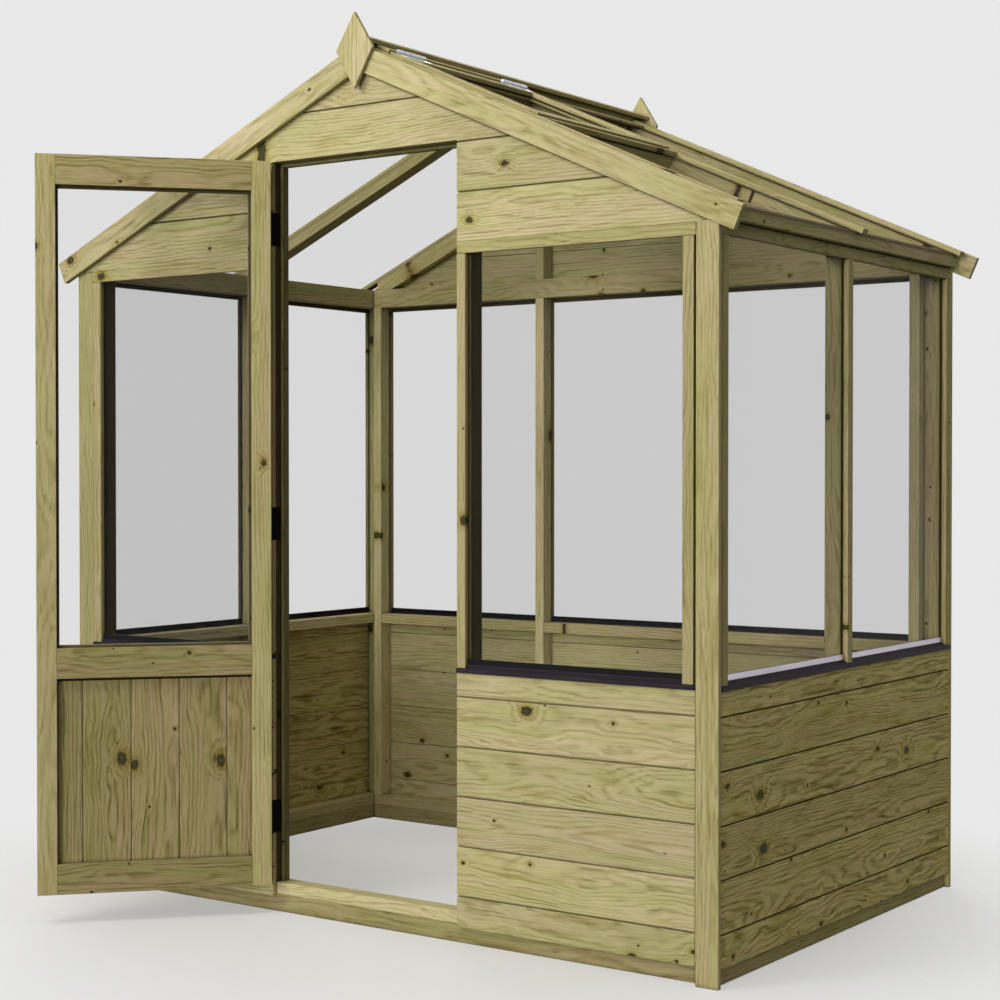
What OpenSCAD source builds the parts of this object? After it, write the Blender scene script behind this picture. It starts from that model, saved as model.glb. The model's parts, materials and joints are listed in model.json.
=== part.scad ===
// Small wooden greenhouse: framed walls with horizontal boards below and glazing above,
// a pitched glazed roof with one hinged vent, and a half-glazed door that swings outwards.
// Millimetres. X runs across the front, Y runs from the front to the back, Z is up.
// The origin is on the ground, under the middle of the front bearer, in the doorway.

/* [House] */
// Width over the side cladding
house_w = 1810; // [1500:5:2200]
// Depth over the front and back cladding
house_d = 1148; // [900:1:1700]
// Height of the top of the wall plates
plate_top = 1542; // [1450:1:1650]
// Height of the roof plane above the wall plates, at the cladding face
roof_lift = 14; // [12:1:20]
// Pitch of the roof, in degrees
roof_pitch = 24; // [20:0.5:26]

/* [Timber] */
// Thickness of the framing timber
stock_w = 27; // [22:1:34]
// Depth of the framing timber through the wall
stock_d = 44; // [38:1:54]
// Height of the ground bearers
bearer_h = 40; // [30:1:60]
// Height of the wall plates and gable bottom rails
plate_h = 52; // [40:1:60]
// Width of the glazing beads
bead_w = 25.5; // [20:0.5:30]
// Width of the beads on the door posts
post_bead_w = 22; // [18:0.5:26]
// Width of the corner strips
strip_w = 51; // [40:1:60]
// Thickness of the corner strips
strip_t = 12; // [8:1:16]
// Distance of the right front strip past the side cladding
strip_out = 2.5; // [0:0.5:4]
// Width of the left corner stud of the front wall
left_stud_w = 16; // [14:1:27]
// Distance of the middle line of the side studs behind the front face
middle_u = 587; // [450:1:640]
// Distance of the back studs from the middle of the house
back_stud_x = 263.5; // [200:0.5:320]

/* [Cladding] */
// Thickness of the boards
clad_t = 12; // [10:1:16]
// Height that each board shows
board_pitch = 107.2; // [80:0.1:130]
// Height that the lowest board shows
first_board = 69.4; // [40:0.1:90]
// Height of the lowest board edge above the ground
clad_z = 36; // [20:1:39]
// Length of the lap behind the next board
board_lap = 7; // [4:0.5:10]
// Height of the open joint between two boards
board_groove = 3.5; // [1:0.5:6]

/* [Windows] */
// Height of the top of the sill rails
sill_rail_top = 598; // [450:1:750]
// Height of the top of the cladding, under the sills
sill_z = 583.5; // [430:0.5:740]
// Height of the sill's nose
nose_h = 7.9; // [5:0.1:12]
// Distance that the sill's nose stands in front of the cladding
nose_out = 4; // [2:0.5:10]
// Rise of the sill from its nose to the glass
sill_rise = 8.1; // [3:0.1:10]
// Height of the sill's upstand in front of the glass
upstand_h = 14; // [8:0.5:20]
// Thickness of the sill's upstand
upstand_t = 4; // [2:0.5:6]
// Thickness of the window panes
pane_t = 4; // [2:0.5:5]
// Distance that a pane reaches into its rebates
pane_bite = 9; // [5:0.5:10]
// Distance that the head beads reach below the rails
bead_drop = 10; // [4:1:16]

/* [Doorway] */
// Half of the width of the doorway
door_half = 263.5; // [230:0.5:320]
// Height of the underside of the door head
head_z = 1722; // [1600:1:1740]
// Thickness of the door stops
stop_t = 8; // [5:1:12]
// Width of the door stops
stop_w = 20; // [12:1:24]

/* [Door] */
// Angle at which the door stands open, in degrees
door_open = 131.7; // [0:0.1:175]
// Thickness of the door
door_t = 28; // [26:1:34]
// Gap round the door
door_gap = 2.5; // [2.5:0.5:5]
// Width of the door stiles
stile_w = 44; // [35:1:60]
// Height of the door rails
rail_h = 68; // [50:1:80]
// Height of the underside of the middle rail
mid_rail_z = 552; // [400:1:700]
// Width that each door board shows
door_board = 107.3; // [90:0.1:120]
// Distance that the door beads reach past the stiles
bead_lip = 6; // [3:0.5:10]
// Thickness of the door pane
door_pane_t = 3; // [2:0.5:4]

/* [Roof] */
// Width of the bargeboards
barge_w = 54; // [44:1:70]
// Thickness of the bargeboards
barge_t = 14; // [10:1:20]
// Thickness of the packers behind the back bargeboards
packer_t = 26; // [18:1:34]
// Depth of the packers behind the back bargeboards
packer_h = 38; // [27:1:42]
// Distance of the bargeboard ends past the side cladding
barge_over = 56.5; // [50:0.5:70]
// Thickness of the roof panes
roof_pane_t = 3; // [2:0.5:4]
// Distance of the rafter tops below the roof plane
rafter_drop = 12; // [11:0.5:14]
// Distance of the roof panes past the side cladding
pane_over = 30; // [28:1:36]
// Thickness of the glazing caps
cap_t = 12; // [8:1:14]
// Width of the rafter caps
cap_w = 27; // [20:1:34]
// Length of the rafter caps past the panes
cap_over = 5; // [2:1:10]
// Depth of the ridge board
ridge_board_h = 70; // [50:1:90]
// Lowest edge of the ridge rails, down the slope
ridge_rail_s = 60; // [55:1:75]
// Height of the ridge board and of the rail behind the vent above the roof plane
ridge_rail_n = 12; // [10:1:13]
// Height of the other ridge rails above the roof plane
low_rail_n = -2; // [-4:1:2]
// Thickness of the ridge capping
capping_t = 9; // [8:1:16]
// Width of the ridge capping down each slope
capping_w = 24; // [20:1:50]
// Width of the fascias
fascia_t = 27; // [20:1:27]
// Gap between the side head beads and the fascias
fascia_gap = 2.5; // [2:0.5:6]
// Half of the width of a finial
finial_half = 52; // [40:1:60]
// Height of a finial above the roof plane's ridge
finial_up = 68; // [50:1:90]
// Height of a finial's side corners below the ridge
finial_side = 14; // [5:1:25]
// Height of a finial's point below the ridge
finial_down = 101; // [80:1:120]
// Thickness of the finials
finial_t = 10; // [6:1:16]

/* [Vent] */
// Length of the vent down the slope
vent_len = 432; // [300:1:600]
// Thickness of the vent frame
vent_t = 19.6; // [16:0.1:22]
// Width of the vent's stiles and rails
vent_bar = 44; // [30:1:60]
// Gap under the vent frame
vent_seat = 0.4; // [0.3:0.1:1]
// Gap beside and below the vent
vent_gap = 2.5; // [2:0.5:5]

/* [Hinges] */
// Number of door hinges
door_hinges = 3; // [2:1:4]
// Length of a door hinge
door_hinge_len = 75; // [60:1:100]
// Distance of the end hinges from the ends of the door
door_hinge_end = 150; // [100:5:250]
// Length of a vent hinge
vent_hinge_len = 100; // [60:1:110]
// Distance of the vent hinges' middles from the vent's sides
vent_hinge_end = 70; // [60:1:120]
// Radius of the hinge knuckles
knuckle_r = 4.5; // [3.5:0.1:4.6]
// Radius of the hinge pins
pin_r = 2; // [1.5:0.1:2.4]
// Thickness of the hinge leaves
leaf_t = 1.1; // [0.8:0.1:1.15]
// Distance of the door's hinge axis in front of the cladding
axis_out = 5; // [4.8:0.1:6]

/* [Hidden] */
$fn = 48;

// Clearances and small fits
panel_gap = 0.5;
butt_gap = 0.2;
slot_play = 0.2;
slope_gap = 0.1;
mitre_gap = 0.2;
fit_gap = 0.3;
pin_play = 0.05;
cap_gap = 0.5;

// Planes of the walls
half_w = house_w / 2;
wall_t = clad_t + stock_d;
inner_x = half_w - wall_t;
front_y = -wall_t + stock_d / 2;
back_y = front_y + house_d;
end_x = inner_x - panel_gap;
strip_x = half_w - strip_w;
left_end_x = strip_x - butt_gap;

// Heights in the walls
base_top = bearer_h + stock_w;
plate_z = plate_top - plate_h;
bead_z = plate_z - bead_drop;
gable_clad_z = bead_z + bead_w;
bead_inset = 4.5;
side_bead_inset = 6.5;
clad_inset = 3;
pane_z0 = sill_rail_top - pane_bite;
pane_z1 = plate_z + pane_bite;
rebate_play = 1;

// The roof plane: x is the distance from the middle, n the height square to the slope
ridge_z = plate_top + roof_lift + half_w * tan(roof_pitch);
function roof_z(x, n) = ridge_z - x * tan(roof_pitch) + n / cos(roof_pitch);
function slope_point(s, n) = [
    s * cos(roof_pitch) + n * sin(roof_pitch),
    ridge_z - s * sin(roof_pitch) + n * cos(roof_pitch)
];
rafter_n0 = -rafter_drop - stock_w;
gable_rafter_n0 = -rafter_drop - stock_d;
pane_n0 = slope_gap - rafter_drop;
pane_n = pane_n0 + roof_pane_t;
cap_n = pane_n + cap_t;
middle_y = front_y + middle_u;
ridge_half = stock_w / 2;
barge_back_y = back_y + packer_t;
barge_x = half_w + barge_over;
pane_end_x = half_w + pane_over;
cap_end_x = pane_end_x + cap_over;
first_rail_s = ridge_half + 7;

// The bays between the rafter caps
bay_1 = [front_y + cap_w, middle_y - cap_w / 2];
bay_2 = [middle_y + cap_w / 2, back_y - cap_w];

// The vent in the front bay of the right slope
vent_s0 = ridge_rail_s + 2;
vent_s1 = vent_s0 + vent_len;
vent_n0 = -rafter_drop + vent_seat;
vent_n1 = vent_n0 + vent_t;
vent_y0 = bay_1[0] + vent_gap;
vent_y1 = bay_1[1] - vent_gap;
trim_top_s = ridge_rail_s - 20;
trim_low_s = vent_s1 - 22;
low_cap_s = vent_s1 + vent_gap;
low_pane_s = low_cap_s + 2;
low_cap_w = 20;
vent_pane_n = vent_n0 + 6;

// The door, shut: u runs from its hinge edge, w from its outer face
door_w = 2 * door_half - 2 * door_gap;
door_z0 = base_top + door_gap;
door_z1 = head_z - door_gap;
door_frame_t = door_t - clad_t;
mid_rail_top = mid_rail_z + rail_h;
door_split_z = mid_rail_z + rail_h / 2;
hinge_x = -door_half;
hinge_y = front_y - axis_out;

// Colours
pine = [0.74, 0.70, 0.50];
pine_dark = [0.62, 0.58, 0.38];
black = [0.08, 0.07, 0.09];
clear = [0.85, 0.9, 0.92, 0.35];
zinc = [0.8, 0.82, 0.85];

// Places a wall drawn with u along it, w from its outer face inwards and z up
module on_front() { translate([0, front_y, 0]) children(); }
module on_back() { translate([0, back_y, 0]) mirror([0, 1, 0]) children(); }
module on_right() { translate([half_w, front_y, 0]) rotate([0, 0, 90]) children(); }
module on_left() { mirror([1, 0, 0]) on_right() children(); }

// Places what is drawn along the slope: s down it, y along the house, n square to it
module on_slope() { translate([0, 0, ridge_z]) rotate([0, roof_pitch, 0]) children(); }

module both_sides() {
    children();
    mirror([1, 0, 0]) children();
}

// A block between two corners
module block(low, high) { translate(low) cube(high - low); }

// An outline in w and z, drawn out along u
module along_u(points, u0, u1) {
    translate([u0, 0, 0]) rotate([90, 0, 90]) linear_extrude(u1 - u0) polygon(points);
}

// An outline in x and z, drawn out along y
module along_y(points, y0, y1) {
    translate([0, y1, 0]) rotate([90, 0, 0]) linear_extrude(y1 - y0) polygon(points);
}

// A framing timber in a wall
module wall_bar(u0, u1, z0, z1) { block([u0, clad_t, z0], [u1, wall_t, z1]); }
module stud(u, z0, z1) { wall_bar(u, u + stock_w, z0, z1); }

// The room that a pane takes out of the timbers round its opening
module rebate(u0, u1) {
    edge = pane_bite + rebate_play;
    block(
        [u0 - edge, clad_t - 1, sill_rail_top - edge],
        [u1 + edge, clad_t + pane_t + 2 * slot_play, plate_z + edge]
    );
}

module window_pane(u0, u1) {
    block(
        [u0 - pane_bite, clad_t + slot_play, pane_z0],
        [u1 + pane_bite, clad_t + slot_play + pane_t, pane_z1]
    );
}

// The sill's height at a depth w
function sill_top(w) = sill_z + nose_h + sill_rise * (w + nose_out) / (clad_t + nose_out);

module bead(u0, u1) {
    top = bead_z - butt_gap;
    points = [[0, sill_top(0)], [clad_t, sill_top(clad_t)], [clad_t, top], [0, top]];
    along_u(points, u0, u1);
}

module head_bead(u0, u1) { block([u0, 0, bead_z], [u1, clad_t, gable_clad_z]); }

// The sill runs under the beads, with an upstand in each window of the list
module sill(u0, u1, windows) {
    base = [
        [-nose_out, sill_z], [clad_t, sill_z],
        [clad_t, sill_top(clad_t)], [-nose_out, sill_top(-nose_out)]
    ];
    union() {
        along_u(base, u0, u1);
        for (w = windows)
            block(
                [w[0], clad_t - upstand_t, sill_z + 1],
                [w[1], clad_t, sill_top(clad_t) + upstand_h]
            );
    }
}

// One lapped board from height z0 to z1, with the joints that it has at each edge
module lapped_board(u0, u1, z0, z1, lapped_below, lapped_above) {
    half_t = clad_t / 2;
    tongue_w = half_t + slot_play;
    top = lapped_above
        ? [
            [0, z1 - board_groove], [tongue_w, z1 - board_groove],
            [tongue_w, z1 + board_lap], [clad_t, z1 + board_lap]
        ]
        : [[0, z1], [clad_t, z1]];
    bottom = lapped_below
        ? [[clad_t, z0 + board_lap + 1], [half_t, z0 + board_lap + 1], [half_t, z0], [0, z0]]
        : [[clad_t, z0], [0, z0]];
    along_u(concat(top, bottom), u0, u1);
}

// The boards below a sill
module low_cladding(u0, u1) {
    seam_0 = clad_z + first_board;
    count = ceil((sill_z - seam_0) / board_pitch);
    lapped_board(u0, u1, clad_z, seam_0, false, true);
    for (i = [0 : count - 1]) {
        z0 = seam_0 + i * board_pitch;
        z1 = min(z0 + board_pitch, sill_z);
        lapped_board(u0, u1, z0, z1, true, i < count - 1);
    }
}

// A roof bar with upright ends at x0 and x1, between the heights n0 and n1
module rafter(x0, x1, n0, n1, y0, y1) {
    points = [
        [x0, roof_z(x0, n0)], [x1, roof_z(x1, n0)],
        [x1, roof_z(x1, n1)], [x0, roof_z(x0, n1)]
    ];
    along_y(points, y0, y1);
}

// A roof piece with square ends at s0 and s1
module slope_block(s0, s1, n0, n1, y0, y1) { on_slope() block([s0, y0, n0], [s1, y1, n1]); }

// The walls' openings, as pairs of stud faces. The front wall's are measured from the middle,
// and a side wall's first one lies behind a stud that starts at u0
post_inner = door_half + stock_w;
corner_inner = end_x - stock_w;
right_opening = [post_inner, corner_inner];
left_opening = [post_inner, end_x - left_stud_w];
function side_openings(u0) = [
    [u0 + stock_w, middle_u - stock_w / 2],
    [middle_u + stock_w / 2, house_d - stock_w]
];
back_openings = [
    [-corner_inner, -back_stud_x - stock_w / 2],
    [-back_stud_x + stock_w / 2, back_stud_x - stock_w / 2],
    [back_stud_x + stock_w / 2, corner_inner]
];

// The walls' beads, as pairs of edges
post_bead = [door_half, door_half + post_bead_w];
right_bead_edges = [post_bead, [end_x - bead_inset - bead_w, end_x - bead_inset]];
left_bead_edges = [post_bead, [left_end_x - bead_w, left_end_x]];
function side_bead_edges(first) = [
    [first, first + bead_w],
    [middle_u - bead_w / 2, middle_u + bead_w / 2],
    [house_d - bead_w, house_d]
];
back_bead_edges = [
    [-end_x + bead_inset, -end_x + bead_inset + bead_w],
    [-back_stud_x - bead_w / 2, -back_stud_x + bead_w / 2],
    [back_stud_x - bead_w / 2, back_stud_x + bead_w / 2],
    [end_x - bead_inset - bead_w, end_x - bead_inset]
];
function between(edges) = [
    for (i = [0 : len(edges) - 2]) [edges[i][1] + fit_gap, edges[i + 1][0] - fit_gap]
];

// Base

module ground_bearers() {
    color(pine_dark) {
        on_front() wall_bar(-end_x, end_x, 0, bearer_h);
        on_back() wall_bar(-end_x, end_x, 0, bearer_h);
        on_left() wall_bar(clad_t, house_d, 0, bearer_h);
        on_right() wall_bar(0, house_d, 0, bearer_h);
    }
}

module threshold() {
    color(pine) on_front() wall_bar(-door_half, door_half, bearer_h, base_top);
}

// Front wall. Its left end reaches past the frame to a corner strip that lies level with it

// The door posts run on up to the rafters
module front_half_studs(opening) {
    post_points = [
        [door_half, base_top], [post_inner, base_top],
        [post_inner, roof_z(post_inner, gable_rafter_n0)],
        [door_half, roof_z(door_half, gable_rafter_n0)]
    ];
    difference() {
        union() {
            along_y(post_points, front_y + clad_t, front_y + wall_t);
            on_front() wall_bar(opening[1], end_x, base_top, plate_z);
        }
        on_front() rebate(opening[0], opening[1]);
    }
}

module front_studs() {
    color(pine) {
        front_half_studs(right_opening);
        mirror([1, 0, 0]) front_half_studs(left_opening);
    }
}

module front_half_rails(opening) {
    on_front() difference() {
        union() {
            wall_bar(door_half, end_x, bearer_h, base_top);
            wall_bar(opening[0], opening[1], sill_rail_top - stock_w, sill_rail_top);
            wall_bar(post_inner, end_x, plate_z, plate_top);
        }
        rebate(opening[0], opening[1]);
    }
}

module front_rails() {
    color(pine) {
        front_half_rails(right_opening);
        mirror([1, 0, 0]) front_half_rails(left_opening);
    }
}

module front_cladding_right() { color(pine) on_front() low_cladding(door_half, end_x); }
module front_cladding_left() {
    color(pine) mirror([1, 0, 0]) on_front() low_cladding(door_half, left_end_x);
}

module front_half_beads(edges, last) {
    on_front() {
        for (edge = edges) bead(edge[0], edge[1]);
        head_bead(door_half, last);
    }
}

module front_beads() {
    color(pine) {
        front_half_beads(right_bead_edges, end_x);
        mirror([1, 0, 0]) front_half_beads(left_bead_edges, left_end_x);
    }
}

module front_panes() {
    color(clear) on_front() {
        window_pane(right_opening[0], right_opening[1]);
        mirror([1, 0, 0]) window_pane(left_opening[0], left_opening[1]);
    }
}

module front_sills() {
    color(black) on_front() {
        sill(door_half, end_x, between(right_bead_edges));
        mirror([1, 0, 0]) sill(door_half, left_end_x, between(left_bead_edges));
    }
}

// Side walls, drawn for the right and mirrored for the left. The right frame starts at the front
// face, and the left one behind the front cladding
right_u0 = 0;
left_u0 = clad_t;
function clad_u0(u0) = max(clad_inset, u0 + butt_gap);
function head_u0(u0) = u0 > 0 ? u0 + butt_gap : 0;
function first_bead(u0) = max(side_bead_inset, u0 + butt_gap);

module side_studs(u0) {
    color(pine) on_right() difference() {
        union() {
            stud(u0, base_top, plate_z);
            stud(middle_u - stock_w / 2, base_top, plate_z);
            stud(house_d - stock_w, base_top, plate_z);
        }
        for (opening = side_openings(u0)) rebate(opening[0], opening[1]);
    }
}

// The wall plate is housed for the end of the middle rafter
module side_rails(u0) {
    color(pine) difference() {
        on_right() {
            wall_bar(u0, house_d, bearer_h, base_top);
            for (opening = side_openings(u0))
                wall_bar(opening[0], opening[1], sill_rail_top - stock_w, sill_rail_top);
            wall_bar(clad_t, house_d, plate_z, plate_top);
        }
        on_right() for (opening = side_openings(u0)) rebate(opening[0], opening[1]);
        mid_rafter();
    }
}

module side_cladding(u0) {
    color(pine_dark) on_right() low_cladding(clad_u0(u0), house_d - clad_inset);
}

module side_beads(u0) {
    color(pine) on_right() {
        for (edge = side_bead_edges(first_bead(u0))) bead(edge[0], edge[1]);
        head_bead(head_u0(u0), house_d);
    }
}

module side_panes(u0) {
    color(clear) on_right()
        for (opening = side_openings(u0)) window_pane(opening[0], opening[1]);
}

module side_sill(u0) {
    windows = between(side_bead_edges(first_bead(u0)));
    color(black) on_right() sill(clad_u0(u0), house_d - clad_inset, windows);
}

module right_studs() { side_studs(right_u0); }
module right_rails() { side_rails(right_u0); }
module right_cladding() { side_cladding(right_u0); }
module right_beads() { side_beads(right_u0); }
module right_panes() { side_panes(right_u0); }
module right_sill() { side_sill(right_u0); }
module left_studs() { mirror([1, 0, 0]) side_studs(left_u0); }
module left_rails() { mirror([1, 0, 0]) side_rails(left_u0); }
module left_cladding() { mirror([1, 0, 0]) side_cladding(left_u0); }
module left_beads() { mirror([1, 0, 0]) side_beads(left_u0); }
module left_panes() { mirror([1, 0, 0]) side_panes(left_u0); }
module left_sill() { mirror([1, 0, 0]) side_sill(left_u0); }

// Back wall

module back_studs() {
    color(pine) on_back() difference() {
        union() {
            stud(-end_x, base_top, plate_z);
            stud(-back_stud_x - stock_w / 2, base_top, plate_z);
            stud(back_stud_x - stock_w / 2, base_top, plate_z);
            stud(corner_inner, base_top, plate_z);
        }
        for (opening = back_openings) rebate(opening[0], opening[1]);
    }
}

module back_rails() {
    color(pine) on_back() difference() {
        union() {
            wall_bar(-end_x, end_x, bearer_h, base_top);
            for (opening = back_openings)
                wall_bar(opening[0], opening[1], sill_rail_top - stock_w, sill_rail_top);
            wall_bar(-end_x, end_x, plate_z, plate_top);
        }
        for (opening = back_openings) rebate(opening[0], opening[1]);
    }
}

module back_cladding() { color(pine_dark) on_back() low_cladding(-end_x, end_x); }

module back_beads() {
    color(pine) on_back() {
        for (edge = back_bead_edges) bead(edge[0], edge[1]);
        head_bead(-end_x, end_x);
    }
}

module back_panes() {
    color(clear) on_back() for (opening = back_openings) window_pane(opening[0], opening[1]);
}

module back_sill() { color(black) on_back() sill(-end_x, end_x, between(back_bead_edges)); }

// Gables

// A pair of rafters on the bottom rail, their feet cut level with its top
module gable_rafters(y0, y1) {
    foot_x = (ridge_z - plate_top + gable_rafter_n0 / cos(roof_pitch)) / tan(roof_pitch);
    points = [
        [ridge_half, roof_z(ridge_half, gable_rafter_n0)], [foot_x, plate_top], [end_x, plate_top],
        [end_x, roof_z(end_x, -rafter_drop)], [ridge_half, roof_z(ridge_half, -rafter_drop)]
    ];
    both_sides() along_y(points, y0, y1);
}

module front_gable_frame() {
    color(pine) gable_rafters(front_y + clad_t, front_y + clad_t + stock_w);
}

module back_gable_frame() {
    stud_x0 = back_stud_x - stock_w / 2;
    stud_x1 = back_stud_x + stock_w / 2;
    stud_n = gable_rafter_n0 - butt_gap;
    stud_points = [
        [stud_x0, plate_top], [stud_x1, plate_top],
        [stud_x1, roof_z(stud_x1, stud_n)], [stud_x0, roof_z(stud_x0, stud_n)]
    ];
    color(pine) {
        gable_rafters(back_y - clad_t - stock_w, back_y - clad_t);
        both_sides() along_y(stud_points, back_y - wall_t, back_y - clad_t);
    }
}

// The area that the gable boards cover, out to x1 on both sides
module gable_area(x1, y0, y1) {
    points = [
        [-x1, gable_clad_z], [x1, gable_clad_z], [x1, roof_z(x1, -rafter_drop)],
        [0, roof_z(0, -rafter_drop)], [-x1, roof_z(x1, -rafter_drop)]
    ];
    along_y(points, y0, y1);
}

module gable_boards(x1) {
    top = roof_z(0, -rafter_drop);
    count = ceil((top - gable_clad_z) / board_pitch);
    for (i = [0 : count - 1])
        lapped_board(
            -x1, x1, gable_clad_z + i * board_pitch,
            gable_clad_z + (i + 1) * board_pitch, i > 0, i < count - 1
        );
}

// The front gable boards reach over the corner strips to the fascias
front_gable_x = half_w - clad_t - butt_gap;

module front_gable_cladding() {
    color(pine) difference() {
        intersection() {
            on_front() gable_boards(front_gable_x);
            gable_area(front_gable_x, front_y - 1, front_y + wall_t);
        }
        block([-door_half, front_y - 1, 0], [door_half, front_y + wall_t, head_z]);
    }
}

module back_gable_cladding() {
    color(pine_dark) intersection() {
        on_back() gable_boards(end_x);
        gable_area(end_x, back_y - wall_t, back_y + 1);
    }
}

module door_head() {
    color(pine) on_front() wall_bar(-door_half, door_half, head_z, head_z + stock_w);
}

module door_stops() {
    stop_w0 = door_t + 1;
    side_top = head_z - stop_t - butt_gap;
    color(pine_dark) on_front() {
        both_sides()
            block([door_half - stop_t, stop_w0, base_top], [door_half, stop_w0 + stop_w, side_top]);
        block([-door_half, stop_w0, head_z - stop_t], [door_half, stop_w0 + stop_w, head_z]);
    }
}

// The front strips end level with the head beads. The right one stands on the front face and is
// cut away for the bargeboard, and the left one lies level with the cladding
module front_corner_strips() {
    top = gable_clad_z - butt_gap;
    x1 = half_w + strip_out;
    color(pine) {
        difference() {
            block([strip_x + strip_out, front_y - strip_t, 0], [x1, front_y, top]);
            rafter(strip_x - 10, x1 + 10, -barge_w - fit_gap, 0, front_y - strip_t - 1, front_y + 1);
        }
        mirror([1, 0, 0]) block([strip_x, front_y, 0], [half_w, front_y + clad_t, top]);
    }
}

// The back strips end level with the rafters
module back_corner_strips() {
    points = [
        [strip_x, 0], [half_w, 0], [half_w, roof_z(half_w, -rafter_drop)],
        [strip_x, roof_z(strip_x, -rafter_drop)]
    ];
    color(pine) both_sides() along_y(points, back_y, back_y + strip_t);
}

// Roof

// The ridge board stands up between the rails, with its top planed to both slopes
module ridge_board() {
    low_z = roof_z(ridge_half, -rafter_drop) - ridge_board_h;
    points = [
        [-ridge_half, low_z], [ridge_half, low_z], [ridge_half, roof_z(ridge_half, ridge_rail_n)],
        [0, roof_z(0, ridge_rail_n)], [-ridge_half, roof_z(ridge_half, ridge_rail_n)]
    ];
    color(pine) along_y(points, front_y + clad_t, back_y - clad_t);
}

module mid_rafter() {
    rafter(
        ridge_half, half_w - clad_t, rafter_n0, -rafter_drop,
        middle_y - stock_d / 2, middle_y + stock_d / 2
    );
}

module mid_rafters() { color(pine) both_sides() mid_rafter(); }

module vent_trimmers() {
    y0 = front_y + clad_t + stock_w;
    y1 = middle_y - stock_d / 2;
    color(pine_dark) {
        slope_block(trim_top_s, trim_top_s + stock_d, rafter_n0, -rafter_drop, y0, y1);
        slope_block(trim_low_s, trim_low_s + stock_d, rafter_n0, -rafter_drop, y0, y1);
    }
}

// A roof pane from s0 down to the eaves
module roof_pane(s0, y0, y1) {
    slope_block(s0, pane_end_x / cos(roof_pitch), pane_n0, pane_n, y0, y1);
}

rail_rebate = 11;
pane_top_s = ridge_rail_s - rail_rebate + 1;
pane_joint = 1;

module left_roof_panes() {
    color(clear) mirror([1, 0, 0]) {
        roof_pane(pane_top_s, front_y + cap_gap, middle_y - pane_joint);
        roof_pane(pane_top_s, middle_y + pane_joint, back_y - cap_gap);
    }
}

module right_roof_panes() {
    color(clear) {
        roof_pane(low_pane_s, front_y + cap_gap, middle_y - pane_joint);
        roof_pane(pane_top_s, middle_y + pane_joint, back_y - cap_gap);
    }
}

module rafter_caps() {
    caps = [
        [front_y + cap_gap, bay_1[0] - cap_gap],
        [bay_1[1] + cap_gap, bay_2[0] - cap_gap],
        [bay_2[1] + cap_gap, back_y - cap_gap]
    ];
    color(pine) {
        both_sides() for (cap = caps)
            slope_block(first_rail_s, cap_end_x / cos(roof_pitch), pane_n, cap_n, cap[0], cap[1]);
        slope_block(low_cap_s, low_cap_s + low_cap_w, pane_n, cap_n, bay_1[0], bay_1[1]);
    }
}

// The rails along the ridge, with a rebate over the tops of the panes
module ridge_rail(y0, y1, top_n) {
    points = [
        slope_point(first_rail_s, pane_n0),
        slope_point(ridge_rail_s - rail_rebate, pane_n0),
        slope_point(ridge_rail_s - rail_rebate, pane_n + slot_play),
        slope_point(ridge_rail_s, pane_n + slot_play),
        slope_point(ridge_rail_s, top_n),
        slope_point(first_rail_s, top_n)
    ];
    along_y(points, y0, y1);
}

// The rail behind the vent is as high as the ridge board, and carries the vent's hinges
module ridge_rails() {
    color(pine) {
        ridge_rail(bay_1[0], bay_1[1], ridge_rail_n);
        mirror([1, 0, 0]) ridge_rail(bay_1[0], bay_1[1], low_rail_n);
        both_sides() ridge_rail(bay_2[0], bay_2[1], low_rail_n);
    }
}

module ridge_capping() {
    low_n = ridge_rail_n + slope_gap;
    top_n = low_n + capping_t;
    points = [
        [mitre_gap, roof_z(mitre_gap, low_n)], slope_point(capping_w, low_n),
        slope_point(capping_w, top_n), [mitre_gap, roof_z(mitre_gap, top_n)]
    ];
    color(pine) both_sides() along_y(points, front_y - barge_t, barge_back_y + barge_t);
}

module fascias() {
    x0 = half_w - clad_t;
    x1 = x0 + fascia_t;
    z0 = gable_clad_z + fascia_gap;
    points = [
        [x0, z0], [x1, z0], [x1, roof_z(x1, -rafter_drop)], [x0, roof_z(x0, -rafter_drop)]
    ];
    color(pine_dark) both_sides() along_y(points, front_y + cap_gap, back_y - cap_gap);
}

module bargeboards(y0, y1) {
    points = [
        [mitre_gap, roof_z(mitre_gap, 0)], [barge_x, roof_z(barge_x, 0)],
        [barge_x - barge_w * sin(roof_pitch), roof_z(barge_x, 0) - barge_w * cos(roof_pitch)],
        [mitre_gap, roof_z(mitre_gap, -barge_w)]
    ];
    both_sides() along_y(points, y0, y1);
}

module front_bargeboards() { color(pine) bargeboards(front_y - barge_t, front_y); }
module back_bargeboards() { color(pine) bargeboards(barge_back_y, barge_back_y + barge_t); }

// The packers hold the back bargeboards off the gable boards
module back_packers() {
    color(pine_dark) both_sides() rafter(
        mitre_gap, strip_x - panel_gap, -rafter_drop - packer_h, -rafter_drop,
        back_y, barge_back_y
    );
}

module finial(y0, y1) {
    points = [
        [0, ridge_z + finial_up], [finial_half, ridge_z - finial_side],
        [0, ridge_z - finial_down], [-finial_half, ridge_z - finial_side]
    ];
    along_y(points, y0, y1);
}

module front_finial() { color(pine) finial(front_y - barge_t - finial_t, front_y - barge_t); }
module back_finial() {
    color(pine) finial(barge_back_y + barge_t, barge_back_y + barge_t + finial_t);
}

// Door: drawn shut, then turned about its hinges

module on_door() {
    translate([hinge_x, hinge_y, 0]) rotate([0, 0, -door_open])
        translate([door_gap, axis_out, 0]) children();
}

module door_bar(u0, u1, z0, z1) { block([u0, clad_t, z0], [u1, door_t, z1]); }

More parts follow.
